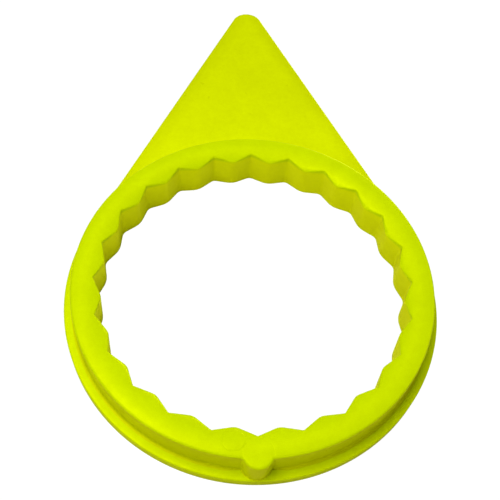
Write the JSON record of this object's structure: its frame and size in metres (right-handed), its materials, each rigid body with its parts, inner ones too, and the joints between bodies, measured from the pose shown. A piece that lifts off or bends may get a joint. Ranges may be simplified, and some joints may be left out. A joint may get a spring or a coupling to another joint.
{
  "type": "loose wheel nut indicator",
  "caption": "Moulded pointer ring that pushes over a hexagonal wheel nut: toothed socket in a raised collar, flat flange, long triangular pointer and a small index post.",
  "frame": {"origin": "on the axis of the ring, in the plane of the flat underside", "axes": "+Z along the axis, out of the raised collar; +Y towards the tip of the pointer"},
  "size_m": [0.0438, 0.0706, 0.0053],
  "materials": {
    "moulding": "fluorescent yellow, satin as moulded"
  },
  "bodies": {
    "root": {"base_flange": "moulding", "pointer_plate": "moulding", "collar_wall": "moulding", "grip_teeth": "moulding", "index_post": "moulding"}
  },
  "joints": []
}
